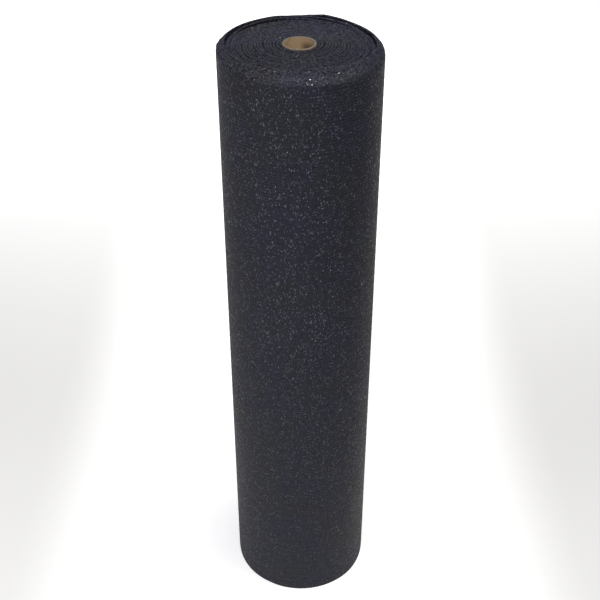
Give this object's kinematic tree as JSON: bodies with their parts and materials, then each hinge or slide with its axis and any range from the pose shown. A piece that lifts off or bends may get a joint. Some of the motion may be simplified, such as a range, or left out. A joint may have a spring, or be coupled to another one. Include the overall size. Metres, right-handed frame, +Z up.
{
  "type": "roll of shade cloth",
  "caption": "Roll of knitted shade cloth standing on end, folded once along its length and wound in a spiral on a thin cardboard core.",
  "frame": {"origin": "on the core's axis at the base of the roll", "axes": "+Z up along the core, -Y towards the viewer of the picture, the loose end of the cloth at the back near +Y"},
  "size_m": [0.2113, 0.2134, 0.9155],
  "materials": {
    "shade_cloth": "matte",
    "core_board": "matte"
  },
  "bodies": {
    "root": {"cloth_roll": "shade_cloth", "core_tube": "core_board"}
  },
  "joints": []
}
